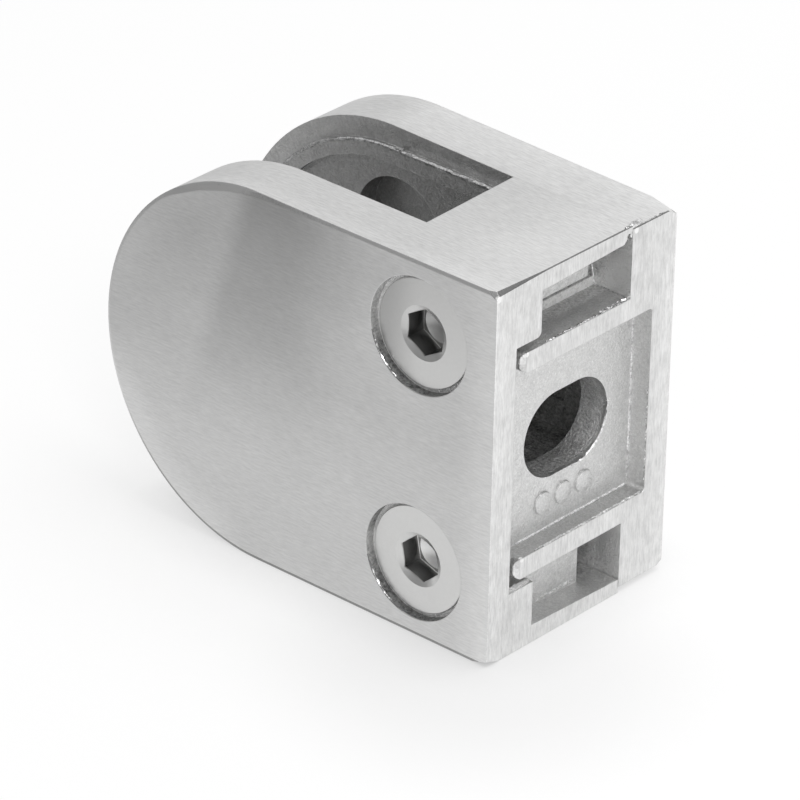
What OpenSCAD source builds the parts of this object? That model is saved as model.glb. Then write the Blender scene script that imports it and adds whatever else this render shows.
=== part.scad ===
// Clamp for a frameless glass panel: two stainless castings that close on the glass,
// drawn together by two countersunk socket screws.
// Origin: centre of the face that bolts to the post. +X points into the post,
// +Y towards the back jaw, +Z up. The glass comes in from -X. Sizes are millimetres.

/* [Overall] */
// Length from the post face to the tip of the round end
body_len = 50; // [46:1:70]
// Height across the two flat sides
body_h = 40; // [39:1:56]
// Thickness from the screw face to the back face
body_t = 26; // [24:0.5:34]
// Width of the ground bevel round the outer faces
edge_bevel = 0.35; // [0.1:0.05:0.6]
// Depth of that bevel, square to the face
edge_depth = 0.12; // [0.05:0.01:0.3]
// Widest place of the hand-dressed bevel at the top of the front jaw's round end
dress_w = 0.85; // [0.7:0.05:1]
// How far the back jaw's top stands proud of the front jaw's, their undersides being flush
rear_proud = 0.25; // [0:0.05:0.4]
// How much lower each flat side of the back jaw is at the post end
back_taper = 0.6; // [0.4:0.05:1]

/* [Glass slot] */
// Width of the empty slot between the jaws
slot_w = 13; // [10:0.5:15]
// Distance from the post face to the floor of the slot
slot_floor = 14.6; // [14.6:0.1:17]
// How much further the floor is from the post at the parting face than at the screw side
floor_skew = 0.4; // [0:0.1:0.6]

/* [Pad seats] */
// Width of the flat land outside the raised rim
seat_land = 1.9; // [1:0.1:3]
// Width of the raised rim round the pad
rim_w = 1.6; // [1:0.1:2.5]
// Height of the raised rim above the land
rim_h = 0.75; // [0.3:0.05:1.5]
// Depth of the pad recess below the land
seat_depth = 0.35; // [0.1:0.05:0.8]
// Diameter of the two round sockets for the pad's studs
stud_d = 10.8; // [6:0.2:12]
// Depth of a stud socket below the pad recess
stud_depth = 2.6; // [1:0.1:3]
// Distance from the post face to the stud sockets
stud_x = 29.7; // [24:0.1:32]
// Height of each stud socket above or below the middle
stud_z = 9.1; // [7:0.1:10]

/* [Base castings] */
// Thickness of the front jaw's roof and floor walls where they leave the plate
wall_t = 2; // [1.6:0.1:2.6]
// How much thinner those walls are at the parting face
wall_draft = 0.45; // [0:0.05:0.8]
// Thickness of the front jaw's skin in front of the ribs
skin_t = 3; // [2.4:0.1:4]
// Half height of the niche in that skin
niche_z = 13.2; // [12.8:0.1:14.5]
// Depth of the pockets above and below the ribs, down to the front jaw's shoulders
shoulder_x = 2.6; // [2:0.1:3.4]
// Height of the underside of the upper shoulder above the middle
roof_shoulder_z = 15; // [14.4:0.1:15.6]
// Depth of the top of the lower shoulder below the middle
floor_shoulder_z = 14; // [13.6:0.1:15.6]
// Length of the shoulders from the plate towards the back jaw
shoulder_len = 9.7; // [6:0.1:11]
// Thickness of a rib
rib_t = 2.2; // [1.6:0.1:3]
// Depth of the recess between the ribs
web_inset = 2.25; // [1.5:0.05:3]
// Thickness of the web that the post bolt pulls on
web_t = 3.25; // [2.5:0.05:4]
// Length of the bolt slot, across the clamp
bolt_slot_len = 12.2; // [10:0.1:13]
// Width of the bolt slot
bolt_slot_w = 9; // [6:0.1:10]
// How far the bolt slot sits towards the back jaw from the middle
bolt_slot_y = 0.3; // [0:0.1:1]
// How far the recess and the bolt channel reach into the back jaw
core_depth = 3.4; // [1:0.1:4]

/* [Screws] */
// Thread diameter of the two clamping screws
screw_d = 6; // [5:0.5:6]
// Screw length, head included
screw_len = 16; // [14:0.5:18]
// Diameter of the screw head
head_d = 11.2; // [10:0.1:11.6]
// How far the head sits below the face
head_sink = 0.75; // [0.2:0.05:1.2]
// Width of the hexagon socket across its flats
key_w = 4.2; // [3:0.1:4.5]
// Depth of the hexagon socket
key_depth = 2.5; // [1.5:0.1:3]
// Distance from the post face to the screws
screw_x = 9.5; // [9.5:0.1:10]
// Height of each screw above or below the middle
screw_z = 12.2; // [12:0.1:12.6]
// Diameter of the threaded boss round each screw
boss_d = 10; // [9.4:0.1:10]

/* [Clearances] */
// Radial gap between a screw's shank and its threaded hole
thread_gap = 0.05; // [0.02:0.01:0.1]
// Gap between the head's cone and its seat, square to the cone
cone_gap = 0.05; // [0.02:0.01:0.1]
// Radial gap between a shank and the hole through the front jaw
shank_gap = 0.3; // [0.2:0.05:0.5]
// Radial gap between the head and its counterbore
head_gap = 0.45; // [0.3:0.05:0.6]
// Gap between the bosses and the front jaw that surrounds them
boss_gap = 0.45; // [0.3:0.05:0.6]
// Gap left at the parting face between the two castings
parting_gap = 0.1; // [0.05:0.05:0.3]
// Gap between the ribs' free ends and the front jaw's skin
rib_gap = 1; // [0.5:0.1:1.5]

/* [Hidden] */
fine = 128;
round_fn = 64;
lap = 1;

front_y = -body_t / 2;
rear_y = body_t / 2;
slot_y = slot_w / 2;
end_r = body_h / 2;
end_x = end_r - body_len;
rear_lift = rear_proud / 2;
rear_end_r = end_r + rear_lift;
rear_end_x = end_x - rear_proud;
rear_post_z = rear_end_r - back_taper;
dress_angle = 108;
dress_step = 8;
dress_fade = 0.09;
dress_slope = 0.36;
post_bevel = [0.12, 0.09];
floor_x = [0.15 - slot_floor, 0.15 - slot_floor - floor_skew];
skin_y = front_y + skin_t;
rib_tip_y = skin_y + rib_gap;
wall_end_y = slot_y - parting_gap;
shoulder_end_y = shoulder_len - slot_y;
web_back_x = -(web_inset + web_t);
rib_in_z = screw_z - rib_t;
boss_r = boss_d / 2;
leg_round = 0.05;
boss_tip_y = boss_gap - slot_y;
leg_half = boss_r - leg_round;
core_y = slot_y + core_depth;
channel_z = screw_z - boss_r - leg_round;
channel_x = -(slot_floor + 0.3);

screw_r = screw_d / 2;
bore_r = screw_r;
shank_r = screw_r - thread_gap;
thread_end_y = slot_y + 1.5;
mouth_bevel = 0.5;
head_y = front_y + head_sink;
head_edge = 0.25;
seat_step = 0.1;
seat_floor_y = head_y + head_edge + seat_step;
seat_r = head_d / 2 + cone_gap * sqrt(2) - seat_step;
hole_r = screw_r + shank_gap;
tip_bevel = 0.6;
drill_angle = 59;

lip_t = 0.7;
lip_len = 0.75;
lip_bevel = 0.35;
niche_bevel = 0.5;
relief = [4.4, 4.1, 0.4];
core_round = 0.45;
rib_round = 0.8;
rib_nose = [0.45, 0.55];
upper_turn = 0;
lower_turn = 8;

// ---- helpers -------------------------------------------------------------

// Extrudes an outline drawn in X and Z from y0 to y1
module slab(y0, y1) {
  translate([0, y1, 0])
    rotate([90, 0, 0])
      linear_extrude(height = y1 - y0)
        children();
}

// Extrudes an outline drawn in Y and Z from x0 to x1
module bar(x0, x1) {
  translate([x0, 0, 0])
    rotate([90, 0, 90])
      linear_extrude(height = x1 - x0)
        children();
}

// Solid of revolution about the line along Y at x and z; points are [radius, y]
module y_spin(x, z, points) {
  translate([x, 0, z])
    rotate([-90, 0, 0])
      rotate_extrude($fn = round_fn)
        polygon(points);
}

// Everything on the far side of the plane through p that the normal n points out of
module past_plane(p, n) {
  translate(p)
    rotate([0, -asin(n.z / norm(n)), atan2(n.y, n.x)])
      translate([0, -body_len, -body_len])
        cube([body_len, 2 * body_len, 2 * body_len]);
}

// Everything past the plane that cuts a corner off at the three reaches given
module past_corner(corner, side, reach) {
  past_plane(corner - [side.x * reach.x, 0, 0],
             [side.x / reach.x, side.y / reach.y, side.z / reach.z]);
}

// Rectangle with round corners, low corner first
module soft_box(low, high, r) {
  translate([low.x + r, low.y])
    square([high.x - low.x - 2 * r, high.y - low.y]);
  translate([low.x, low.y + r])
    square([high.x - low.x, high.y - low.y - 2 * r]);
  for (x = [low.x + r, high.x - r], y = [low.y + r, high.y - r])
    translate([x, y])
      circle(r = r, $fn = 32);
}

// ---- outlines in X and Z -------------------------------------------------

// Outline of radius r round the point at x = mid, with flat sides that run on to x = reach
module d_outline(r, mid, reach) {
  intersection() {
    translate([mid, 0])
      circle(r = r, $fn = fine);
    translate([mid - body_len, -body_h])
      square([body_len, 2 * body_h]);
  }
  translate([mid, -r])
    square([reach - mid, 2 * r]);
}

// Shoulder that fills the corner outside a boss; up is 1 above the middle, -1 below
module shoulder_outline(up) {
  under = up > 0 ? roof_shoulder_z : floor_shoulder_z;
  mirror([0, up > 0 ? 0 : 1])
    difference() {
      translate([floor_x.y - lap, under])
        square([-shoulder_x - floor_x.y + lap, end_r - under - wall_t / 2]);
      translate([-screw_x, screw_z])
        circle(r = boss_r + boss_gap, $fn = round_fn);
    }
}

// ---- details shared by the two jaws ---------------------------------------

// Pad rim standing on the inner face at y = face; inward is 1 where the glass lies towards +Y
module pad_rim(face, inward, r, mid) {
  far = face + inward * rim_h;
  near = face - inward * lap;
  slab(min(near, far), max(near, far))
    difference() {
      d_outline(r - seat_land, mid, -slot_floor);
      d_outline(r - seat_land - rim_w, mid, lap - slot_floor);
    }
}

// Pad recess and its two stud sockets, cut through the mouth of the rim
module pad_recess(face, inward, r, mid) {
  floor_y = face - inward * seat_depth;
  socket_y = floor_y - inward * stud_depth;
  mouth_y = face + inward * (rim_h + lap);
  slab(min(floor_y, mouth_y), max(floor_y, mouth_y))
    d_outline(r - seat_land - rim_w, mid, -slot_floor);
  for (side = [-1, 1])
    slab(min(socket_y, mouth_y), max(socket_y, mouth_y))
      translate([-stud_x, side * stud_z])
        circle(d = stud_d, $fn = round_fn);
}

// D-shaped plate from y = inner to y = face, its outer edge bevelled, lower by drop at the post
module plate(inner, face, r, mid, drop = 0) {
  out = sign(face);
  edge = [
    [0, inner],
    [r, inner],
    [r, face - out * edge_depth],
    [r - edge_bevel, face],
    [0, face],
  ];
  fall = drop / -mid;
  translate([mid, 0, 0])
    rotate([-90, 90, 0])
      rotate_extrude(angle = 180, $fn = fine)
        polygon(edge);
  for (up = [0, 1])
    mirror([0, 0, up])
      difference() {
        bar(mid, 0)
          mirror([1, -1])
            polygon(edge);
        if (drop > 0) {
          past_plane([mid, 0, r], [fall, 0, 1]);
          past_plane([mid, face, r - edge_bevel], [fall, out * edge_bevel / edge_depth, 1]);
        }
      }
}

// ---- front jaw -------------------------------------------------------------

// Roof and floor walls that close the base as far as the parting face
module base_walls() {
  inner = end_r - wall_t;
  for (up = [0, 1])
    mirror([0, 0, up])
      bar(floor_x.y - lap, 0)
        polygon([
          [-slot_y - lap, inner],
          [-slot_y, inner],
          [wall_end_y, inner + wall_draft],
          [wall_end_y, end_r],
          [-slot_y - lap, end_r],
        ]);
}

// Small flat facets that widen the bevel at the top of the round end
module dressed_facets() {
  for (k = [-2:2]) {
    a = dress_angle + k * dress_step;
    w = dress_w - dress_fade * k * k;
    past_plane([end_x + (end_r - w) * cos(a), front_y, (end_r - w) * sin(a)],
               [cos(a), -1 / dress_slope, sin(a)]);
  }
}

// Niche in Y and Z, the upper corner of its mouth bevelled
module niche_outline() {
  polygon([
    [skin_y, -niche_z],
    [slot_y, -niche_z],
    [slot_y, niche_z],
    [lap - slot_y, niche_z],
    [lap - slot_y, niche_z + niche_bevel],
    [-slot_y, niche_z + niche_bevel],
    [-slot_y - 0.3 * niche_bevel, niche_z + 0.3 * niche_bevel],
    [-slot_y - niche_bevel, niche_z],
    [skin_y, niche_z],
  ]);
}

// What is cut from under the end of the roof wall, in Y and Z
module lip_outline() {
  side = wall_end_y - lip_len;
  under = end_r - wall_t + wall_draft;
  polygon([
    [side - lip_bevel, end_r - wall_t - lap],
    [side - lip_bevel, under],
    [side, under + lip_bevel],
    [side, end_r - lip_t - lip_bevel / 2],
    [side + lip_bevel / 2, end_r - lip_t],
    [wall_end_y + lap, end_r - lip_t],
    [wall_end_y + lap, end_r - wall_t - lap],
  ]);
}

// Bevel along one edge of the post face; up is 1 on top and -1 below
module post_edge(up, z) {
  past_plane([0, 0, up * (z - post_bevel.y)], [1 / post_bevel.x, 0, up / post_bevel.y]);
}

// Countersunk hole for one screw
module screw_seat(z) {
  y_spin(-screw_x, z, [
    [0, front_y - lap],
    [head_d / 2 + head_gap, front_y - lap],
    [head_d / 2 + head_gap, seat_floor_y],
    [seat_r, seat_floor_y],
    [hole_r, seat_floor_y + seat_r - hole_r],
    [hole_r, lap - slot_y],
    [0, lap - slot_y],
  ]);
}

module front_jaw() {
  color("silver")
    difference() {
      union() {
        plate(-slot_y, front_y, end_r, end_x);
        difference() {
          union() {
            base_walls();
            for (up = [-1, 1])
              slab(-slot_y - lap, shoulder_end_y)
                shoulder_outline(up);
          }
          // floor of the glass slot
          past_plane([floor_x.x, -slot_y, 0], [-slot_w, -floor_skew, 0]);
        }
        pad_rim(-slot_y, 1, end_r, end_x);
      }
      pad_recess(-slot_y, 1, end_r, end_x);
      for (z = [-screw_z, screw_z])
        screw_seat(z);
      // niche for the ribs and the web
      bar(web_back_x - boss_gap, lap)
        niche_outline();
      // thin lip at the end of the roof wall
      bar(-slot_floor + lap, lap)
        lip_outline();
      dressed_facets();
      for (up = [-1, 1])
        post_edge(up, end_r);
      // corners dressed by hand at the post end
      past_corner([0, front_y, end_r], [1, -1, 1], [0.45, 9, 0.4]);
      past_corner([0, front_y, end_r], [1, -1, 1], [1.4, 0.6, 0.7]);
      past_corner([0, front_y, -end_r], [1, -1, -1], [2, 2, 0.6]);
    }
}

// ---- rear jaw ----------------------------------------------------------------

// Boss and leg that carry one threaded hole
module leg(up) {
  mirror([0, 0, up > 0 ? 0 : 1])
    slab(boss_tip_y, slot_y + lap) {
      translate([-screw_x, screw_z])
        circle(r = boss_r, $fn = round_fn);
      translate([-screw_x - leg_half, channel_z])
        square([2 * leg_half, screw_z - channel_z]);
    }
}

// Rib profile in Y and Z, with its free end rounded
module rib_profile() {
  translate([rib_tip_y + rib_round, rib_in_z])
    square([slot_y + lap - rib_tip_y - rib_round, rib_t]);
  translate([rib_tip_y, rib_in_z + rib_round])
    square([2 * rib_round, rib_t - 2 * rib_round]);
  for (z = [rib_in_z + rib_round, rib_in_z + rib_t - rib_round])
    translate([rib_tip_y + rib_round, z])
      circle(r = rib_round, $fn = 32);
}

// Web with a rib along its top and bottom edge
module web_and_ribs() {
  translate([web_back_x, rib_tip_y + rib_round, -screw_z])
    cube([web_t, slot_y + lap - rib_tip_y - rib_round, 2 * screw_z]);
  for (up = [0, 1])
    mirror([0, 0, up])
      difference() {
        bar(web_back_x, 0)
          rib_profile();
        past_plane([0, rib_tip_y + rib_nose.y, screw_z], [rib_nose.y, -rib_nose.x, 0]);
      }
}

// Oblong hole through the web for the post bolt
module bolt_slot() {
  half = (bolt_slot_len - bolt_slot_w) / 2;
  translate([0, bolt_slot_y, 0])
    bar(web_back_x - lap, lap - web_inset) {
      translate([-half, -bolt_slot_w / 2])
        square([2 * half, bolt_slot_w]);
      for (side = [-1, 1])
        translate([side * half, 0])
          circle(r = bolt_slot_w / 2, $fn = round_fn);
    }
}

// Threaded hole, blind, with a drill point and a bevelled mouth
module threaded_hole(z) {
  y_spin(-screw_x, z, [
    [0, boss_tip_y - lap],
    [bore_r + mouth_bevel + lap, boss_tip_y - lap],
    [bore_r, boss_tip_y + mouth_bevel],
    [bore_r, thread_end_y],
    [0, thread_end_y + bore_r / tan(drill_angle)],
  ]);
}

module rear_jaw() {
  color("gainsboro")
    difference() {
      union() {
        translate([0, 0, rear_lift])
          plate(slot_y, rear_y, rear_end_r, rear_end_x, back_taper);
        for (up = [-1, 1])
          leg(up);
        web_and_ribs();
        pad_rim(slot_y, -1, end_r, rear_end_x);
      }
      pad_recess(slot_y, -1, end_r, rear_end_x);
      bolt_slot();
      for (z = [-screw_z, screw_z])
        threaded_hole(z);
      // recess between the ribs runs on into the jaw
      bar(-web_inset, lap)
        soft_box([0, -rib_in_z], [core_y, rib_in_z], core_round);
      // channel for the bolt's head between the legs
      translate([channel_x, 0, -channel_z])
        cube([web_back_x - channel_x, core_y, 2 * channel_z]);
      translate([channel_x, core_y - lap, -relief.y])
        cube([relief.x, relief.z + lap, 2 * relief.y]);
      translate([0, 0, rear_lift]) {
        for (up = [-1, 1])
          post_edge(up, rear_post_z);
        // corners dressed by hand at the post end
        past_corner([0, rear_y, rear_post_z], [1, 1, 1], [3, 1.3, 0.7]);
        past_corner([0, rear_y, -rear_post_z], [1, 1, -1], [3, 0.8, 0.5]);
      }
    }
}

// ---- screws --------------------------------------------------------------------

// Countersunk socket screw on the height z, its socket turned by turn degrees
module screw(z, turn) {
  tip_y = head_y + screw_len;
  cone_y = head_y + head_edge;
  key_r = key_w / 2 - 0.1;
  mouth_r = key_w * 0.66;
  color("lightgrey")
    difference() {
      y_spin(-screw_x, z, [
        [0, head_y],
        [head_d / 2, head_y],
        [head_d / 2, cone_y],
        [shank_r, cone_y + head_d / 2 - shank_r],
        [shank_r, tip_y - tip_bevel],
        [shank_r - tip_bevel, tip_y],
        [0, tip_y],
      ]);
      translate([-screw_x, head_y - lap, z])
        rotate([-90, 30 + turn, 0])
          cylinder(h = key_depth + lap, d = key_w / cos(30), $fn = 6);
      y_spin(-screw_x, z, [
        [0, head_y - lap],
        [mouth_r + lap, head_y - lap],
        [key_r, head_y + mouth_r - key_r],
        [key_r, head_y + key_depth],
        [0, head_y + key_depth + key_r / tan(drill_angle)],
      ]);
    }
}

module upper_screw() {
  screw(screw_z, upper_turn);
}

module lower_screw() {
  screw(-screw_z, lower_turn);
}

front_jaw();
rear_jaw();
upper_screw();
lower_screw();
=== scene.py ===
"""Looks for the glass panel clamp: two ground stainless castings and two countersunk screws."""

import math
import random
from types import SimpleNamespace

import bmesh
import bpy
from mathutils import Matrix, Vector


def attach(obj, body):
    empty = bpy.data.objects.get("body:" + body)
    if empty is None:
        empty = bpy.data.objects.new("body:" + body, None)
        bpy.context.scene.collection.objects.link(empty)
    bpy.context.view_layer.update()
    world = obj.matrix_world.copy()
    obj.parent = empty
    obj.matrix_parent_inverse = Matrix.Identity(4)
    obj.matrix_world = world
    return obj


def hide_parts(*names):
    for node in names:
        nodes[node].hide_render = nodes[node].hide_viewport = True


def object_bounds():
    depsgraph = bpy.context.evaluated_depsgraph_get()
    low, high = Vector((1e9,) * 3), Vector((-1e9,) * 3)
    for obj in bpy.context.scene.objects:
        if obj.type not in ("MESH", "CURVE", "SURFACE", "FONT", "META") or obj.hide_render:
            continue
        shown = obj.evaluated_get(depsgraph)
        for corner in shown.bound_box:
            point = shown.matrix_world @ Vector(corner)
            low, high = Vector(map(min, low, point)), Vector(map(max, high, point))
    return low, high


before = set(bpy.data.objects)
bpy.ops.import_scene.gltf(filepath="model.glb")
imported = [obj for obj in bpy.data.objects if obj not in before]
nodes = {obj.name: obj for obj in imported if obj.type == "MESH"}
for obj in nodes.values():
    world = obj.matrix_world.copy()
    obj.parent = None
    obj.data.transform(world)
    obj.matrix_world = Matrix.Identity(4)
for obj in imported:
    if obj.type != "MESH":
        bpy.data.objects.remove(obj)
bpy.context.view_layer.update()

MM = 0.001
CHANCE = random.Random(7)

# Places on the castings, in millimetres, as the part's source has them
FRONT_Y = -13.0
END_X = -30.0
END_R = 20.0
SCREW_X = -9.5
SCREW_Z = 12.2
COUNTERBORE_R = 6.05
WEB_X = -2.25
RECESS_Y = 9.9
LAND_Y = 6.5
RIM_Y = 5.75
RIM_R = 18.1
SLOT_Y = 1.9
SLOT_R = 4.5
FLOOR_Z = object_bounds()[0].z

# From here in, the metal is the glass slot's: just past the slot's floor
GLASS_SLOT_X = -15.0

# The M6 screws, in millimetres, and half the drill's point angle in degrees
HEAD_Y = FRONT_Y + 0.75
HEAD_R = 5.6
HEAD_EDGE = 0.25
HEAD_ROUND = 0.1
SHANK_R = 2.95
THREAD_ROOT_R = 2.38
UNDER_HEAD = HEAD_EDGE + HEAD_R - THREAD_ROOT_R
PITCH = 1.0
THREAD_TURNS = 15
THREAD_STEPS = 40
THREAD_RUN_OUT = 1.3
SCREW_LENGTH = 16.0
TIP_BEVEL = 0.6
KEY_W = 4.3
KEY_DEPTH = 2.5
KEY_MOUTH = 0.25
DRILL_POINT = 59

# Points closer than SAME are one, and CUT is how near a point lies to a cut to fall on it, in millimetres
SAME = 0.002
CUT = 0.001

# Edges that turn by less than this are shaded smooth, in degrees
CASTING_SMOOTH = 40
SCREW_SMOOTH = 20

# How many sides a bead's cross section has
BEAD_SIDES = 6


# ---- modelling helpers ------------------------------------------------------

def nothing_selected():
    """Leaves edit mode and selects nothing."""
    if bpy.context.object and bpy.context.object.mode != "OBJECT":
        bpy.ops.object.mode_set(mode="OBJECT")
    bpy.ops.object.select_all(action="DESELECT")


def only(piece):
    """Makes one piece active and alone selected."""
    nothing_selected()
    piece.select_set(True)
    bpy.context.view_layer.objects.active = piece


def bake():
    """Bakes the selected piece's place, turn and scale into its mesh."""
    bpy.ops.object.transform_apply(location=True, rotation=True, scale=True)


def edit_all():
    """Enters edit mode with the whole mesh selected."""
    bpy.ops.object.mode_set(mode="EDIT")
    bpy.ops.mesh.select_all(action="SELECT")


def pick_edges(piece, test):
    """In edit mode, selects the edges that pass the test."""
    bpy.ops.mesh.select_all(action="DESELECT")
    bpy.ops.mesh.select_mode(type="EDGE")
    mesh = bmesh.from_edit_mesh(piece.data)
    for edge in mesh.edges:
        edge.select_set(test(edge))
    mesh.select_flush_mode()
    bmesh.update_edit_mesh(piece.data)


def line_of(name, points):
    """Draws an open line through points in mm, one vertex pulled out of the last."""
    nothing_selected()
    bpy.ops.mesh.primitive_plane_add(size=MM, location=Vector(points[0]) * MM)
    piece = bpy.context.object
    piece.name = name
    bake()
    edit_all()
    bpy.ops.mesh.merge(type="CENTER")
    for start, stop in zip(points, points[1:]):
        step = (Vector(stop) - Vector(start)) * MM
        bpy.ops.mesh.extrude_vertices_move(TRANSFORM_OT_translate={"value": step})
    bpy.ops.object.mode_set(mode="OBJECT")
    return piece


def turned(name, profile, steps):
    """Turns a profile of (radius, y) in mm round the Y axis, in steps, into a closed solid."""
    piece = line_of(name, [(r, y, 0) for r, y in profile])
    edit_all()
    bpy.ops.mesh.spin(steps=steps, angle=2 * math.pi, center=(0, 0, 0), axis=(0, 1, 0))
    close_up()
    return piece


def close_up():
    """Merges doubles, turns every face outwards and leaves edit mode."""
    bpy.ops.mesh.select_all(action="SELECT")
    bpy.ops.mesh.remove_doubles(threshold=SAME * MM)
    bpy.ops.mesh.normals_make_consistent(inside=False)
    bpy.ops.object.mode_set(mode="OBJECT")


def combine(piece, tool, how):
    """Joins the tool to the piece or cuts it away, then throws the tool out."""
    only(piece)
    step = piece.modifiers.new("cut", "BOOLEAN")
    step.operation = how
    step.solver = "EXACT"
    step.object = tool
    bpy.ops.object.modifier_apply(modifier=step.name)
    bpy.data.objects.remove(tool, do_unlink=True)


def put_at(piece, place, turn=0.0):
    """Turns a piece about Y by degrees and moves it to its place in mm, and bakes both into its mesh."""
    only(piece)
    bake()
    piece.rotation_euler = (0, math.radians(turn), 0)
    piece.location = Vector(place) * MM
    bake()


def bead_ring(name, start, way, thick):
    """A ring round a point in mm, square to the way ahead, in edit mode with all of it selected."""
    nothing_selected()
    bpy.ops.mesh.primitive_circle_add(vertices=BEAD_SIDES, radius=thick * MM, location=start * MM,
                                      rotation=way.to_track_quat("Z", "Y").to_euler())
    piece = bpy.context.object
    piece.name = name
    bake()
    edit_all()
    return piece


def ragged_bead(piece, ragged, body, finish):
    """Makes a plain tube ragged, closes its ends and lets it ride on its casting."""
    bpy.ops.mesh.select_all(action="SELECT")
    bpy.ops.mesh.fill_holes(sides=0)
    bpy.ops.mesh.select_all(action="SELECT")
    bpy.ops.transform.vertex_random(offset=ragged * MM, uniform=0.4, normal=0.0, seed=CHANCE.randrange(1000))
    close_up()
    smooth_by(piece, CASTING_SMOOTH)
    finish_piece(piece, finish)
    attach(piece, body)


def straight_bead(name, body, finish, start, stop, thick, ragged, every):
    """A bead of metal from start to stop, with rings of points about this far apart, in mm."""
    start, way = Vector(start), Vector(stop) - Vector(start)
    piece = bead_ring(name, start, way, thick)
    steps = max(2, round(way.length / every))
    for _ in range(steps):
        bpy.ops.mesh.extrude_edges_move(TRANSFORM_OT_translate={"value": way / steps * MM})
    ragged_bead(piece, ragged, body, finish)


def round_bead(name, body, finish, start, centre, axis, sweep, thick, ragged, every):
    """A bead that starts at a point in mm and runs round an axis through the centre by sweep degrees."""
    centre, axis, start = Vector(centre), Vector(axis), Vector(start)
    run = axis.cross(start - centre)
    piece = bead_ring(name, start, run, thick)
    steps = max(3, round(run.length * abs(math.radians(sweep)) / every))
    bpy.ops.mesh.spin(steps=steps, angle=-math.radians(sweep), center=centre * MM, axis=axis)
    ragged_bead(piece, ragged, body, finish)


def smooth_by(piece, degrees):
    """Shades a piece smooth across edges that turn by less than these degrees."""
    only(piece)
    bpy.ops.object.shade_smooth_by_angle(angle=math.radians(degrees))


def finish_piece(piece, finish):
    """Gives a piece one finish all over, in every slot that it has."""
    if piece.data.materials:
        for index in range(len(piece.data.materials)):
            piece.data.materials[index] = finish
    else:
        piece.data.materials.append(finish)


# ---- material helpers -------------------------------------------------------

def new_finish(name):
    """A bare material, its node tree and its shader."""
    finish = bpy.data.materials.new(name)
    finish.use_nodes = True
    tree = finish.node_tree
    shader = tree.nodes["Principled BSDF"]
    return finish, tree, shader


def put(tree, kind, inputs=None, **settings):
    """Adds a node, sets its settings, and feeds its inputs with values or other nodes' outputs."""
    node = tree.nodes.new(kind)
    for key, value in settings.items():
        setattr(node, key, value)
    for key, value in (inputs or {}).items():
        if isinstance(value, bpy.types.NodeSocket):
            tree.links.new(value, node.inputs[key])
        else:
            node.inputs[key].default_value = value
    return node


def calc(tree, how, a, b=0.0):
    """One sum on values or other nodes' outputs."""
    return put(tree, "ShaderNodeMath", {0: a, 1: b}, operation=how).outputs[0]


def times(tree, a, b):
    return calc(tree, "MULTIPLY", a, b)


def plus(tree, a, b):
    return calc(tree, "ADD", a, b)


def minus(tree, a, b):
    return calc(tree, "SUBTRACT", a, b)


def least(tree, a, b):
    return calc(tree, "MINIMUM", a, b)


def most(tree, a, b):
    return calc(tree, "MAXIMUM", a, b)


def unsigned(tree, a):
    return calc(tree, "ABSOLUTE", a)


def above(tree, a, limit):
    """1 above the limit and 0 below it."""
    return calc(tree, "GREATER_THAN", a, limit)


def below(tree, a, limit):
    """1 below the limit and 0 above it."""
    return calc(tree, "LESS_THAN", a, limit)


def long_side(tree, a, b):
    """The long side of a right-angled triangle whose short sides are a and b."""
    return calc(tree, "SQRT", plus(tree, calc(tree, "POWER", a, 2.0), calc(tree, "POWER", b, 2.0)))


def swing(tree, noise, depth):
    """A noise as a swing of its depth about nought."""
    return times(tree, minus(tree, noise, 0.5), depth)


def blend_value(tree, share, a, b):
    """a where the share is 0 and b where it is 1."""
    return put(tree, "ShaderNodeMix", {0: share, 2: a, 3: b}).outputs[0]


def ramp_value(tree, value, low, high, out_low=0.0, out_high=1.0):
    """Maps low to out_low and high to out_high, smoothly, held outside."""
    return put(tree, "ShaderNodeMapRange", {0: value, 1: low, 2: high, 3: out_low, 4: out_high},
               interpolation_type="SMOOTHSTEP").outputs[0]


def ramp_linear(tree, value, low, high):
    """0 at low and 1 at high, held outside."""
    return put(tree, "ShaderNodeMapRange", {0: value, 1: low, 2: high, 3: 0.0, 4: 1.0}).outputs[0]


def millimetres(tree):
    """Object coordinates in millimetres, whole and split."""
    place = put(tree, "ShaderNodeTexCoord").outputs["Object"]
    scaled = put(tree, "ShaderNodeVectorMath", {0: place, 3: 1 / MM}, operation="SCALE").outputs[0]
    split = put(tree, "ShaderNodeSeparateXYZ", {0: scaled}).outputs
    return scaled, split[0], split[1], split[2]


def distance(tree, place, spot):
    """How far a place is from a fixed spot."""
    return put(tree, "ShaderNodeVectorMath", {0: place, 1: spot}, operation="DISTANCE").outputs["Value"]


def cloud(tree, vector, scale, detail=2.0, roughness=0.5):
    """Soft noise from 0 to 1, with this many swings a millimetre."""
    return put(tree, "ShaderNodeTexNoise",
               {"Vector": vector, "Scale": scale, "Detail": detail, "Roughness": roughness}).outputs[0]


def join_xyz(tree, x, y, z):
    return put(tree, "ShaderNodeCombineXYZ", {0: x, 1: y, 2: z}).outputs[0]


def lay_grey(tree, shader, tone, blue):
    """Colours the metal with one tone for red and green and another for blue."""
    colour = put(tree, "ShaderNodeCombineColor", {0: tone, 1: tone, 2: blue})
    tree.links.new(colour.outputs[0], shader.inputs["Base Color"])
    shader.inputs["Metallic"].default_value = 1.0


def lay_bump(tree, shader, height, **under):
    """Raises the surface by a height in mm, over the normal given as Normal if there is one."""
    bump = put(tree, "ShaderNodeBump", {"Strength": 1.0, "Distance": MM, "Height": height, **under})
    tree.links.new(bump.outputs[0], shader.inputs["Normal"])


# ---- finishes ---------------------------------------------------------------

# How bright the metal is: ground, as cast near the post face, and as cast further in, with painted shade
STEEL = 0.75
CAST_STEEL = 0.71
DEEP_SHADED_STEEL = 0.54

# Past these, in mm, a jaw's surface is ground: the outer faces, the post face and the rim
GROUND_Y = 12.86
GROUND_X = -0.06
GROUND_R = 19.2

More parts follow.
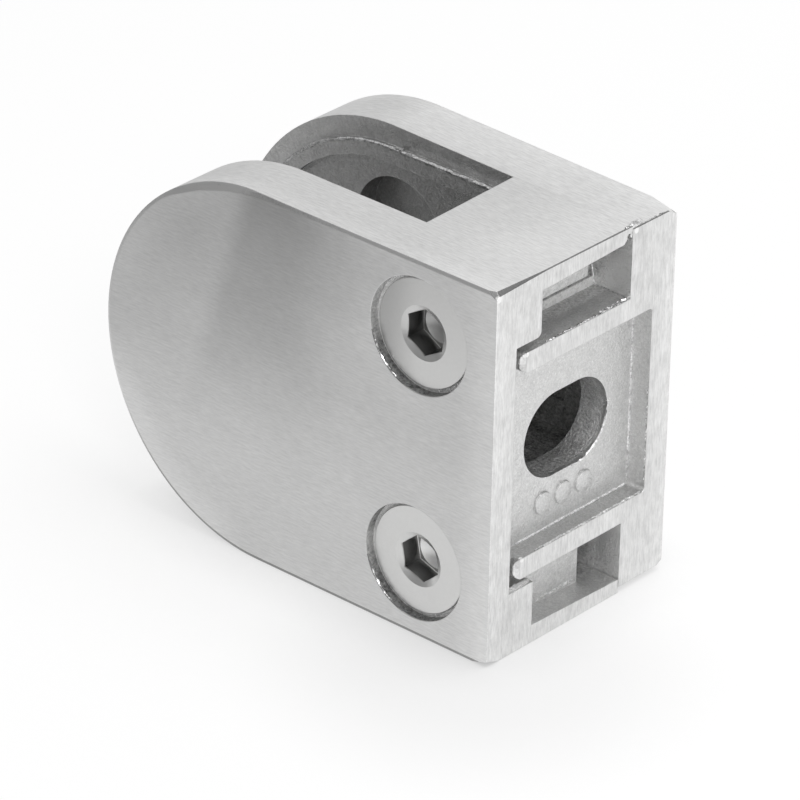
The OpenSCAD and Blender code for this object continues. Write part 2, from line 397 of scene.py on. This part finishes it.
# A counterbore starts this far out, the recess reaches this far up and down, and the bolt slot this far in, in mm
COUNTERBORE_Y = 11.6
RECESS_Z = 11.0
SLOT_END_X = -6.0

# Middle and radius of each painted glint on a corner, in mm
PAINTED_GLINT_SPOTS = [
    ((0, -12.75, 19.35), 0.42),
    ((-0.2, -8.45, 12.0), 0.38),
    ((-0.2, -8.2, -10.2), 0.32),
    ((-0.1, 7.0, 19.3), 0.35),
]


def read_jaw(tree):
    """What the jaws' finish reads at a point: place in mm, facing, kind of surface, and the noises over it."""
    at = SimpleNamespace()
    at.place, at.x, at.y, at.z = millimetres(tree)
    arc_x = least(tree, minus(tree, at.x, END_X), 0.0)
    at.reach = long_side(tree, arc_x, at.z)
    facing = put(tree, "ShaderNodeNewGeometry").outputs["True Normal"]
    at.to_x, at.to_y, at.to_z = put(tree, "ShaderNodeSeparateXYZ", {0: facing}).outputs
    # the rim leaves out what faces straight to the front or the back
    on_rim = times(tree, above(tree, at.reach, GROUND_R), below(tree, unsigned(tree, at.to_y), 0.97))
    at.on_face = above(tree, unsigned(tree, at.y), GROUND_Y)
    at.on_post = above(tree, at.x, GROUND_X)
    at.ground = most(tree, most(tree, on_rim, at.on_face), at.on_post)

    # the grain runs along X on the faces, round the rim, and up and down on the post face
    bend = calc(tree, "ARCTAN2", unsigned(tree, arc_x), unsigned(tree, at.z))
    rim_along = minus(tree, most(tree, at.x, END_X), times(tree, bend, END_R))
    along = blend_value(tree, at.on_post, blend_value(tree, at.on_face, rim_along, at.x), at.z)
    across = blend_value(tree, at.on_face, at.y, at.z)
    grain = join_xyz(tree, times(tree, along, 0.5), times(tree, across, 3.4), times(tree, at.on_post, 5.0))
    at.streak = cloud(tree, grain, 1.5, 4.0, 0.7)
    at.sweep = cloud(tree, grain, 0.28, 2.0, 0.5)

    at.patch = cloud(tree, at.place, 0.14, 2.0, 0.5)
    at.swell = cloud(tree, at.place, 0.07, 1.0, 0.5)
    at.sand = cloud(tree, at.place, 3.6, 3.0, 0.75)
    at.lump = cloud(tree, at.place, 0.9, 3.0, 0.55)
    # random painted glints on the cast grains near the post face
    at.glint = times(tree, ramp_value(tree, cloud(tree, at.place, 6.5, 1.0), 0.60, 0.70),
                     ramp_value(tree, at.x, -3.6, -2.4))
    # the cast skin is coarsest in the niches and the bolt slot
    at.coarse = times(tree, ramp_value(tree, at.x, -2.5, -3.0, 1.0, 2.2),
                      ramp_value(tree, at.x, GLASS_SLOT_X, GLASS_SLOT_X - 1.0, 1.0, 0.45))
    at.grit = swing(tree, at.sand, at.coarse)
    return at


def face_painted_reflection(tree, at):
    """Painted reflection on the screw face: a darker slanting swathe down it, and painted highlights near the round
    end's edge, towards the top by the post end and along the post edge.
    """
    slant = plus(tree, at.x, times(tree, minus(tree, 18.0, at.z), 0.3))
    swathe = times(tree, ramp_value(tree, slant, -33.8, -30.4), ramp_value(tree, at.x, -27.0, -18.0, 1.0, 0.0))
    depth = plus(tree, ramp_value(tree, at.z, -9.0, 7.0, 0.0, 0.17), ramp_value(tree, at.z, 8.0, 16.0, 0.0, 0.07))
    depth = times(tree, depth, below(tree, at.y, 0.0))
    aside = ramp_value(tree, unsigned(tree, at.z), 1.0, 8.0)
    painted_edge_highlight = times(tree, ramp_value(tree, at.reach, 15.0, 19.6), ramp_value(tree, at.x, -37.0, -30.0, 1.0, 0.0))
    corner = times(tree, ramp_value(tree, at.x, -20.0, -15.0), ramp_value(tree, at.z, 2.0, 18.0))
    raised = plus(tree, times(tree, painted_edge_highlight, aside), corner)
    raised = plus(tree, raised, ramp_value(tree, at.x, -5.0, -0.3))
    shade = minus(tree, 1.0, times(tree, swathe, depth))
    return plus(tree, shade, times(tree, raised, 0.14))


def rim_painted_shade_and_highlight(tree, at):
    """Painted shade on the rim behind the glass slot's floor, and painted highlights at its two outer edges."""
    painted_darkening = times(tree, ramp_value(tree, at.x, -13.0, -3.0, 1.0, 0.0), ramp_value(tree, at.x, -34.0, -30.0))
    painted_darkening = times(tree, painted_darkening, ramp_value(tree, at.y, 5.0, 9.0, 0.08, 0.0))
    bright = plus(tree, ramp_value(tree, at.x, -9.0, -1.0, 0.0, 0.05),
                  ramp_value(tree, unsigned(tree, at.y), 10.5, 12.0, 0.0, 0.05))
    return plus(tree, minus(tree, 1.0, painted_darkening), bright)


def ground_tone(tree, at):
    """Belt-ground metal: its lines, painted reflection and shade on the screw face and rim, painted light and shade on
    its dressed edges, and the post face's stains.
    """
    # coarser grit left deeper lines on the post face than on the rim, and the screw face is finest
    line_depth = plus(tree, 0.52, times(tree, at.on_post, 0.06))
    line_depth = minus(tree, line_depth, times(tree, at.on_face, 0.16))
    tone = plus(tree, STEEL - 0.02, swing(tree, at.streak, line_depth))
    tone = plus(tree, tone, times(tree, at.patch, 0.06))
    tone = minus(tree, tone, times(tree, at.on_post, 0.03))
    tone = times(tree, tone, blend_value(tree, at.on_face, rim_painted_shade_and_highlight(tree, at), face_painted_reflection(tree, at)))
    # painted shade darkens the dressed edge between the rim and the post face
    tone = times(tree, tone, ramp_value(tree, least(tree, at.to_x, at.to_z), 0.2, 0.3, 1.0, 0.35))
    # the bevel between the rim and the screw face gets a painted highlight where it faces up and painted shade where it
    # faces down
    forward = times(tree, at.to_y, -1.0)
    bevel_highlight = plus(tree, 1.35, swing(tree, at.sand, 0.9))
    on_top = ramp_value(tree, least(tree, forward, at.to_z), 0.1, 0.28)
    tone = times(tree, tone, blend_value(tree, on_top, 1.0, bevel_highlight))
    underneath = least(tree, forward, times(tree, at.to_z, -1.0))
    tone = times(tree, tone, ramp_value(tree, underneath, 0.1, 0.28, 1.0, 0.45))
    # the post face is stained in patches
    stain = ramp_value(tree, cloud(tree, at.place, 0.55, 4.0, 0.6), 0.35, 0.62, -0.04, 0.03)
    return plus(tree, tone, times(tree, stain, at.on_post))


def counterbore_painted_shade(tree, at):
    """Painted shade on a counterbore's wall: darkest on its lower part, where it faces up, and on the lower counterbore
    also at its top.
    """
    tone = ramp_value(tree, at.to_z, -0.2, 0.8, 0.78, 0.30)
    low = times(tree, ramp_value(tree, at.to_z, -0.45, 0.05, 0.5, 0.0), below(tree, at.z, 0.0))
    return times(tree, tone, minus(tree, 1.0, low))


def wall_shade(tree, at):
    """Painted light and shade on the walls by which way they face: pocket walls lighter than the recess's, and the
    recess's foot darkest.
    """
    in_recess = times(tree, below(tree, unsigned(tree, at.z), RECESS_Z), above(tree, at.x, WEB_X - 0.05))
    pocket = ramp_value(tree, at.to_y, -0.9, -0.3, 1.45, 1.0)
    recess = times(tree, ramp_value(tree, at.to_z, 0.3, 0.9, 1.08, 0.70),
                   ramp_value(tree, at.to_y, -0.9, -0.3, 0.98, 1.0))
    return blend_value(tree, in_recess, pocket, recess)


def slot_shade(tree, at):
    """Painted shade darkens the bolt slot's wall."""
    in_slot = times(tree, below(tree, unsigned(tree, at.z), SLOT_R + 0.2), below(tree, at.x, WEB_X - 0.05))
    return blend_value(tree, times(tree, in_slot, above(tree, at.x, SLOT_END_X)), 1.0, 0.80)


def boss_shade(tree, at):
    """Painted highlight on the upper boss's end, up to a painted shadow of the roof's shoulder along its top."""
    on_end = times(tree, ramp_value(tree, at.x, -5.0, -4.7), ramp_value(tree, at.x, -4.4, -4.2, 1.0, 0.0))
    on_end = times(tree, on_end, above(tree, at.to_x, 0.8))
    return blend_value(tree, on_end, 1.0, ramp_value(tree, at.z, 13.0, 13.2, 1.72, 0.7))


def cast_tone(tree, at):
    """Blasted as-cast skin, with painted shade by how deep it lies and painted light and shade by which wall it is."""
    # painted shade: bright near the post face, darker further in, and darkest behind the web, where the bolt's channel
    # runs; a little lighter again in the glass slot
    tone = ramp_value(tree, at.x, -2.6, -5.2, CAST_STEEL, DEEP_SHADED_STEEL)
    tone = times(tree, tone, ramp_value(tree, at.x, -6.0, -8.0, 1.0, 0.64))
    tone = times(tree, tone, ramp_value(tree, at.x, GLASS_SLOT_X, GLASS_SLOT_X - 1.5, 1.0, 1.06))
    # the pad seat's land and rim are brighter than its recess
    off_land = unsigned(tree, minus(tree, unsigned(tree, at.y), LAND_Y))
    seat_brightening = plus(tree, ramp_value(tree, off_land, 0.05, 0.2, 0.27, 0.0),
                  ramp_value(tree, off_land, 0.6, 0.7, 0.0, 0.1))
    seat_brightening = times(tree, seat_brightening, below(tree, at.x, GLASS_SLOT_X))
    tone = times(tree, tone, plus(tree, seat_brightening, 1.0))
    in_counterbore = above(tree, unsigned(tree, at.y), COUNTERBORE_Y)
    tone = blend_value(tree, in_counterbore, tone, counterbore_painted_shade(tree, at))
    for shade in (wall_shade, slot_shade, boss_shade):
        tone = times(tree, tone, shade(tree, at))
    tone = plus(tree, tone, times(tree, at.grit, 0.40))
    tone = plus(tree, tone, swing(tree, at.lump, times(tree, at.coarse, 0.22)))
    return plus(tree, tone, times(tree, at.glint, 0.12))


def jaw_steel(name):
    """Belt-ground outside, blasted as-cast inside, told apart by place."""
    finish, tree, shader = new_finish(name)
    at = read_jaw(tree)
    tone = blend_value(tree, at.ground, cast_tone(tree, at), ground_tone(tree, at))
    # painted glints on corners
    for spot, size in PAINTED_GLINT_SPOTS:
        off = plus(tree, distance(tree, at.place, spot), swing(tree, at.sand, size))
        tone = plus(tree, tone, ramp_value(tree, off, 0.6 * size, size, 0.6, 0.0))
    tone = least(tree, tone, 1.0)
    lay_grey(tree, shader, tone, times(tree, tone, 0.995))

    ground_rough = plus(tree, 0.30, times(tree, at.sweep, 0.10))
    cast_rough = minus(tree, plus(tree, 0.40, times(tree, at.lump, 0.12)), times(tree, at.glint, 0.12))
    tree.links.new(blend_value(tree, at.ground, cast_rough, ground_rough), shader.inputs["Roughness"])

    ground_height = plus(tree, times(tree, at.streak, 0.006), times(tree, at.swell, 0.35))
    cast_height = plus(tree, times(tree, at.grit, 0.09), times(tree, at.lump, 0.04))
    soft_edges = put(tree, "ShaderNodeBevel", {"Radius": 0.12 * MM}, samples=6).outputs[0]
    lay_bump(tree, shader, blend_value(tree, at.ground, cast_height, ground_height), Normal=soft_edges)

    # scratches spread light across the grain: up and down on the faces, along Y elsewhere
    spread = join_xyz(tree, 0.0, minus(tree, 1.0, at.on_face), at.on_face)
    # blasted metal has no grain: the spread turns at random there
    noise = put(tree, "ShaderNodeTexNoise", {"Vector": at.place, "Scale": 6.0}).outputs["Color"]
    any_way = put(tree, "ShaderNodeVectorMath", {0: noise, 1: (0.5, 0.5, 0.5)}, operation="SUBTRACT").outputs[0]
    way = put(tree, "ShaderNodeMix", {0: at.ground, 4: any_way, 5: spread}, data_type="VECTOR").outputs[1]
    tree.links.new(way, shader.inputs["Tangent"])
    shader.inputs["Anisotropic"].default_value = 0.55
    return finish


def burr_steel(name, dark, bright, rough):
    """Smeared bright metal along the cut edges, or softer flash from the mould."""
    finish, tree, shader = new_finish(name)
    place = millimetres(tree)[0]
    crumb = cloud(tree, place, 4.0, 2.0, 0.6)
    tone = ramp_value(tree, crumb, 0.40, 0.58, dark, bright)
    lay_grey(tree, shader, tone, tone)
    shader.inputs["Roughness"].default_value = rough
    return finish


def screw_steel(name):
    """Cold-headed and turned stainless screw, a little brighter than the castings."""
    finish, tree, shader = new_finish(name)
    place, x, y, z = millimetres(tree)
    on_upper = above(tree, z, 0.0)
    sand = cloud(tree, place, 2.2, 3.0, 0.6)
    patch = cloud(tree, place, 0.35, 2.0, 0.5)
    tone = plus(tree, STEEL, times(tree, sand, 0.06))
    # painted shade on the upper head towards the glass
    painted_darkening = times(tree, ramp_value(tree, x, -14.6, SCREW_X, 0.28, 0.0), on_upper)
    tone = times(tree, tone, minus(tree, 1.0, painted_darkening))
    tone = plus(tree, tone, times(tree, patch, 0.06))
    # painted shade darkens the sockets' walls, and their floors are painted brighter, the lower one's most
    mouth_y, floor_y = HEAD_Y + KEY_MOUTH, HEAD_Y + KEY_DEPTH
    off_axis = long_side(tree, minus(tree, x, SCREW_X), minus(tree, unsigned(tree, z), SCREW_Z))
    in_socket = times(tree, ramp_value(tree, y, mouth_y, mouth_y + 0.2), ramp_value(tree, off_axis, 2.5, 2.6, 1.0, 0.0))
    at_floor = ramp_value(tree, y, floor_y - 0.1, floor_y)
    dark = minus(tree, 0.77, times(tree, at_floor, blend_value(tree, on_upper, 1.0, 0.5)))
    tone = times(tree, tone, minus(tree, 1.0, times(tree, in_socket, dark)))
    lay_grey(tree, shader, tone, times(tree, tone, 0.99))
    tree.links.new(plus(tree, 0.26, times(tree, patch, 0.12)), shader.inputs["Roughness"])
    lay_bump(tree, shader, times(tree, sand, 0.01))
    return finish


SCREW_FINISH = screw_steel("screw_steel")
BURR_FINISH = burr_steel("burr_steel", 0.35, 0.98, 0.24)
FLASH_FINISH = burr_steel("flash_steel", 0.66, 0.98, 0.42)
RIM_FINISH = burr_steel("rim_flash_steel", 0.38, 0.66, 0.45)
JAW_FINISH = jaw_steel("jaw_steel")


# ---- screws -----------------------------------------------------------------

def threaded_shank(name):
    """A rolled thread along Y, cut square at both ends."""
    # one pitch of it: root, rise, crest, fall and root again
    piece = line_of(name, [(THREAD_ROOT_R, 0, 0), (THREAD_ROOT_R, 0.2, 0), (SHANK_R, 0.46, 0), (SHANK_R, 0.6, 0),
                           (THREAD_ROOT_R, 0.86, 0), (THREAD_ROOT_R, PITCH, 0)])
    coil = piece.modifiers.new("thread", "SCREW")
    coil.axis = "Y"
    coil.angle = 2 * math.pi
    coil.screw_offset = PITCH * MM
    coil.steps = THREAD_STEPS
    coil.render_steps = THREAD_STEPS
    coil.iterations = THREAD_TURNS
    bpy.ops.object.modifier_apply(modifier=coil.name)
    edit_all()
    bpy.ops.mesh.remove_doubles(threshold=SAME * MM)
    for cut, near_end in ((THREAD_RUN_OUT, True), (THREAD_TURNS - THREAD_RUN_OUT, False)):
        bpy.ops.mesh.select_all(action="SELECT")
        bpy.ops.mesh.bisect(plane_co=(0, cut * MM, 0), plane_no=(0, 1, 0), threshold=CUT * MM,
                            clear_inner=near_end, clear_outer=not near_end)
    bpy.ops.mesh.select_all(action="SELECT")
    bpy.ops.mesh.fill_holes(sides=0)
    close_up()
    return piece


def countersunk_head(name):
    """The head and a stub of the shank, with the outer face at Y 0."""
    stub_r = THREAD_ROOT_R + 0.02
    return turned(name, [
        (0, 0), (HEAD_R - 2 * HEAD_ROUND, 0), (HEAD_R - HEAD_ROUND, 0), (HEAD_R - 0.03, 0.03), (HEAD_R, HEAD_ROUND),
        (HEAD_R, HEAD_EDGE), (THREAD_ROOT_R + 0.3, UNDER_HEAD - 0.3), (stub_r, UNDER_HEAD + 0.1),
        (stub_r, UNDER_HEAD + 1.0), (0, UNDER_HEAD + 1.0),
    ], 72)


def tip_cutter():
    """What lies outside the bevelled tip."""
    wide, past = SHANK_R + 3, SCREW_LENGTH + 4
    return turned("tip", [(0, SCREW_LENGTH), (SHANK_R - TIP_BEVEL, SCREW_LENGTH),
                          (wide, SCREW_LENGTH - 3 - TIP_BEVEL), (wide, past), (0, past)], 48)


def key_cutter(turn):
    """The hexagon of the socket, down to its flat floor."""
    nothing_selected()
    bpy.ops.mesh.primitive_cylinder_add(vertices=6, radius=KEY_W / math.sqrt(3) * MM, depth=2 * KEY_DEPTH * MM,
                                        rotation=(math.pi / 2, 0, 0))
    key = bpy.context.object
    put_at(key, (0, 0, 0), turn)
    return key


def mouth_cutter(turn):
    """The socket's coned mouth and the drill point under its floor."""
    mouth_r = KEY_W * 0.66
    drill_r = KEY_W / 2 - 0.1
    mouth = turned("mouth", [
        (0, -1), (mouth_r + 2, -1), (mouth_r, 0), (drill_r, 0.5 * (mouth_r - drill_r)), (drill_r, KEY_DEPTH - 0.06),
        (0, KEY_DEPTH + drill_r / math.tan(math.radians(DRILL_POINT))),
    ], 48)
    # a little off the hexagon, so that no corner of one falls on a corner of the other
    put_at(mouth, (0, 0, 0), turn + 2.3)
    return mouth


def clamping_screw(name, body, side, turn):
    """Countersunk socket screw with a real thread, standing for the plain one."""
    piece = countersunk_head(name)
    shank = threaded_shank("shank")
    put_at(shank, (0, UNDER_HEAD - 0.9, 0))
    combine(piece, shank, "UNION")
    combine(piece, tip_cutter(), "DIFFERENCE")
    combine(piece, key_cutter(turn), "DIFFERENCE")
    combine(piece, mouth_cutter(turn), "DIFFERENCE")
    put_at(piece, (SCREW_X, HEAD_Y, side * SCREW_Z))
    smooth_by(piece, SCREW_SMOOTH)
    finish_piece(piece, SCREW_FINISH)
    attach(piece, body)
    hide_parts(body)


# ---- marks and burrs on the castings ------------------------------------------

PIP_R = 1.2
PIP_HIGH = 0.3
PIP_ROUND = 0.22
PIP_Z = -6.95
PIPS = [("left", -2.85), ("middle", 0.1), ("right", 3.15)]

# Each straight bead has its name, casting, finish, start, stop, thickness, raggedness and spacing of its rings,
# all in mm. A round one has its start, centre, axis and sweep in degrees in place of start and stop.
BEADS = [
    # what the belt and the saw left along the ribs and the recess
    (straight_bead, "upper_rib_burr", "rear_jaw", BURR_FINISH,
     (-0.16, -5.6, 12.24), (-0.16, 6.9, 12.24), 0.08, 0.09, 0.22),
    (straight_bead, "upper_rib_end_burr", "rear_jaw", BURR_FINISH,
     (-0.26, 2.2, 12.3), (-0.26, 6.8, 12.3), 0.10, 0.12, 0.25),
    (straight_bead, "lower_rib_burr", "rear_jaw", FLASH_FINISH,
     (-0.17, -6.2, -9.96), (-0.17, 9.4, -9.96), 0.09, 0.08, 0.25),
    (straight_bead, "recess_burr", "rear_jaw", BURR_FINISH,
     (-0.14, RECESS_Y + 0.02, -9.0), (-0.14, RECESS_Y + 0.02, 1.0), 0.06, 0.07, 0.35),
    # soft beads from the mould, in the foot of the recess, in the niches, along the pad rim and round the slot
    (straight_bead, "recess_side_fillet", "rear_jaw", FLASH_FINISH,
     (WEB_X, RECESS_Y - 0.05, -9.7), (WEB_X, RECESS_Y - 0.05, 9.7), 0.15, 0.04, 0.4),
    (straight_bead, "recess_foot_fillet", "rear_jaw", FLASH_FINISH,
     (WEB_X, -6.6, -9.98), (WEB_X, RECESS_Y - 0.2, -9.98), 0.15, 0.04, 0.4),
    (straight_bead, "niche_corner_lump", "front_jaw", JAW_FINISH,
     (-0.45, -9.8, -13.1), (-0.45, -6.9, -13.1), 0.36, 0.1, 0.3),
    (straight_bead, "niche_foot_fillet", "rear_jaw", FLASH_FINISH,
     (-4.5, 6.47, 12.22), (-0.4, 6.47, 12.22), 0.09, 0.02, 0.4),
    (straight_bead, "niche_side_fillet", "rear_jaw", FLASH_FINISH,
     (-4.5, 6.45, 12.3), (-4.85, 6.45, 14.2), 0.1, 0.02, 0.4),
    (straight_bead, "floor_grains", "front_jaw", FLASH_FINISH,
     (-2.8, -2.9, -17.86), (-2.7, 2.5, -17.86), 0.22, 0.12, 0.28),
    (straight_bead, "rim_flash", "rear_jaw", RIM_FINISH,
     (END_X, RIM_Y + 0.1, RIM_R), (-15.2, RIM_Y + 0.1, RIM_R), 0.25, 0.06, 0.35),
    (round_bead, "rim_end_flash", "rear_jaw", RIM_FINISH,
     (END_X, RIM_Y + 0.08, RIM_R), (END_X, RIM_Y + 0.08, 0), (0, 1, 0), -52, 0.19, 0.06, 0.35),
    (straight_bead, "rim_nub", "rear_jaw", JAW_FINISH,
     (-29.2, RIM_Y + 0.15, RIM_R + 0.2), (-28.4, RIM_Y + 0.15, RIM_R + 0.2), 0.26, 0.08, 0.3),
    (round_bead, "slot_lip_burr", "rear_jaw", FLASH_FINISH,
     (WEB_X, SLOT_Y + SLOT_R, 0.6), (WEB_X, SLOT_Y, 0), (1, 0, 0), -105, 0.13, 0.06, 0.3),
    # metal smeared over the joint between the two castings at the post end
    (straight_bead, "roof_end_burr", "front_jaw", BURR_FINISH,
     (-0.18, 5.5, 20.0), (-0.2, 6.5, 19.98), 0.12, 0.06, 0.2),
    (straight_bead, "joint_burr", "rear_jaw", FLASH_FINISH,
     (-0.42, 6.4, 19.80), (-0.42, 8.2, 19.72), 0.3, 0.11, 0.28),
    (straight_bead, "joint_side_burr", "rear_jaw", BURR_FINISH,
     (-0.22, 6.5, 19.5), (-0.22, 6.5, 18.7), 0.13, 0.07, 0.2),
    (straight_bead, "rear_top_burr", "rear_jaw", BURR_FINISH,
     (-0.17, 8.4, 19.62), (-0.17, 11.4, 19.6), 0.07, 0.08, 0.25),
]


def foundry_pip(name, y):
    """Plain raised round pip on the web, its edge rounded over."""
    nothing_selected()
    bpy.ops.mesh.primitive_cylinder_add(vertices=40, radius=PIP_R * MM, depth=2 * PIP_HIGH * MM,
                                        rotation=(0, math.pi / 2, 0))
    piece = bpy.context.object
    piece.name = name
    bake()
    edit_all()
    pick_edges(piece, lambda edge: all(vert.co.x > 0 for vert in edge.verts))
    bpy.ops.mesh.bevel(offset=PIP_ROUND * MM, segments=2)
    close_up()
    put_at(piece, (WEB_X, y, PIP_Z))
    smooth_by(piece, CASTING_SMOOTH)
    finish_piece(piece, JAW_FINISH)
    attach(piece, "rear_jaw")


def seat_burr(name, side):
    """A bright edge along the mouth of a screw's counterbore, on the side of the round end."""
    centre = Vector((SCREW_X, FRONT_Y + 0.15, side * SCREW_Z))
    start = centre + Vector((-COUNTERBORE_R * 0.92, 0, -COUNTERBORE_R * 0.39))
    round_bead(name, "front_jaw", BURR_FINISH, start, centre, (0, 1, 0), -40, 0.09, 0.06, 0.22)


def dress_castings():
    """Foundry pips on the web, and what the mould, the saw and the belt left along the edges."""
    for place, y in PIPS:
        foundry_pip("foundry_pip_" + place, y)
    for make, *bead in BEADS:
        make(*bead)
    seat_burr("upper_seat_burr", 1)
    seat_burr("lower_seat_burr", -1)


for body in ("front_jaw", "rear_jaw"):
    finish_piece(nodes[body], JAW_FINISH)
clamping_screw("upper_clamp_screw", "upper_screw", 1, 0)
clamping_screw("lower_clamp_screw", "lower_screw", -1, -11)
dress_castings()


# ---- stage ------------------------------------------------------------------

# The paper's own grey, how white it reads, and how much of it shows in the metal beside the clamp and further off
PAPER = 0.38
PAPER_WHITE = 0.675
PAPER_GLOW = 0.66
PAPER_GLOW_FAR = 0.46
FLOOR_SIZE = 6

# How bright the room shows in the metal, and how much light it gives
ROOM_WHITE = 0.95
ROOM_LIGHT = 0.5

# Where the room is darker: the way there, cosines where full and where gone, and how much is left
ROOM_SHADES = [
    ((-0.55, -0.83, 0.10), 0.97, 0.30, 0.28),
    ((0.42, 0.68, 0.60), 0.97, 0.72, 0.35),
    ((-0.80, 0.60, -0.05), 0.99, 0.75, 0.72),
]

# The camera's turn round the clamp, its height and its roll in degrees; where it aims, and its place from there, in mm
CAMERA_TURNS = (41.17, 28.54, 1.26)
CAMERA_AIM = Vector((-25, 0, 0))
CAMERA_RIGHT = 1.42
CAMERA_DOWN = 4.85
CAMERA_BACK = 583.13
LENS = 270
SENSOR = 36


def paper_light(tree):
    """What the paper gives off, so that it's white to the eye and in the metal, with painted shadows round the clamp.
    """
    light = put(tree, "ShaderNodeLightPath").outputs
    place, x, y, _ = millimetres(tree)
    # in the metal it fades out to where the lamps no longer reach it
    away = plus(tree, times(tree, x, -0.66), times(tree, minus(tree, y, FRONT_Y), -0.75))
    in_metal = plus(tree, ramp_value(tree, away, -40.0, 30.0, PAPER_GLOW, PAPER_GLOW_FAR),
                    ramp_value(tree, away, 40.0, 150.0, 0.0, -0.56))
    # a wide faint painted shadow lies on it round the near corner, and a narrow painted shadow from ambient occlusion
    # under the edges
    off_corner = distance(tree, place, (0, -14, FLOOR_Z / MM))
    to_eye = ramp_value(tree, off_corner, 6.0, 26.0, PAPER_WHITE - 0.09, PAPER_WHITE)
    open_sky = put(tree, "ShaderNodeAmbientOcclusion", {"Distance": 7 * MM}, samples=8).outputs["AO"]
    to_eye = times(tree, to_eye, ramp_linear(tree, open_sky, -2.4, 1.0))
    return plus(tree, times(tree, light["Is Glossy Ray"], in_metal), times(tree, light["Is Camera Ray"], to_eye))


def white_paper():
    """Matt paper that takes the clamp's shadow and reads as white elsewhere."""
    paper, tree, shader = new_finish("white_paper")
    shader.inputs["Base Color"].default_value = (PAPER, PAPER, PAPER, 1)
    shader.inputs["Roughness"].default_value = 1.0
    shader.inputs["Specular IOR Level"].default_value = 0.0
    glow = put(tree, "ShaderNodeEmission", {0: (1, 1, 1, 1), 1: paper_light(tree)})
    both = put(tree, "ShaderNodeAddShader", {0: shader.outputs[0], 1: glow.outputs[0]})
    tree.links.new(both.outputs[0], tree.nodes["Material Output"].inputs[0])
    return paper


def lay_floor():
    """A wide sheet of white paper under the clamp."""
    nothing_selected()
    bpy.ops.mesh.primitive_plane_add(size=FLOOR_SIZE, location=(0, 0, FLOOR_Z))
    floor = bpy.context.object
    floor.name = "floor"
    bake()
    finish_piece(floor, white_paper())


def set_world():
    """White room, darker in the metal low down on the side the front face looks to, and in two other places."""
    world = bpy.data.worlds.new("room")
    bpy.context.scene.world = world
    world.use_nodes = True
    tree = world.node_tree
    back = tree.nodes["Background"]
    back.inputs["Color"].default_value = (1, 1, 1, 1)
    way = put(tree, "ShaderNodeTexCoord").outputs["Generated"]
    in_metal = ROOM_WHITE
    for dark_way, inner, outer, left in ROOM_SHADES:
        to = Vector(dark_way).normalized()
        near = put(tree, "ShaderNodeVectorMath", {0: way, 1: to}, operation="DOT_PRODUCT").outputs["Value"]
        in_metal = times(tree, in_metal, ramp_value(tree, near, outer, inner, 1.0, left))
    light = put(tree, "ShaderNodeLightPath").outputs
    level = blend_value(tree, light["Is Glossy Ray"], ROOM_LIGHT, in_metal)
    level = blend_value(tree, light["Is Camera Ray"], level, 1.0)
    tree.links.new(level, back.inputs["Strength"])


def soft_light(name, place, aim, size, level):
    """A square soft light; its level is what it adds to a white card at its aim, facing it."""
    nothing_selected()
    bpy.ops.object.light_add(type="AREA", location=place)
    lamp = bpy.context.object
    lamp.name = name
    way = Vector(aim) - Vector(place)
    lamp.rotation_euler = way.to_track_quat("-Z", "Y").to_euler()
    lamp.data.shape = "SQUARE"
    lamp.data.size = size
    lamp.data.energy = level * (math.pi * way.length) ** 2


def set_camera():
    """Long lens on the near corner between the screw face and the post face."""
    around, height, roll = (math.radians(turn) for turn in CAMERA_TURNS)
    back = Vector((math.sin(around) * math.cos(height), -math.cos(around) * math.cos(height), math.sin(height)))
    level = Vector((math.cos(around), math.sin(around), 0))
    upright = back.cross(level)
    right = math.cos(roll) * level + math.sin(roll) * upright
    up = -math.sin(roll) * level + math.cos(roll) * upright
    place = CAMERA_AIM + CAMERA_RIGHT * right - CAMERA_DOWN * up + CAMERA_BACK * back
    data = bpy.data.cameras.new("camera")
    camera = bpy.data.objects.new("camera", data)
    bpy.context.scene.collection.objects.link(camera)
    camera.matrix_world = Matrix.Translation(place * MM) @ Matrix((right, up, back)).transposed().to_4x4()
    data.sensor_width = SENSOR
    data.lens = LENS
    data.clip_start = 0.01
    data.clip_end = 20
    bpy.context.scene.camera = camera


lay_floor()
set_world()
soft_light("overhead_light", (0.20, 0.12, 0.80), (-0.02, 0, 0), 0.6, 0.38)
soft_light("camera_side_light", (0.60, -0.52, 0.56), (-0.02, 0, 0), 0.22, 0.12)
set_camera()
bpy.context.scene.view_settings.view_transform = "Standard"
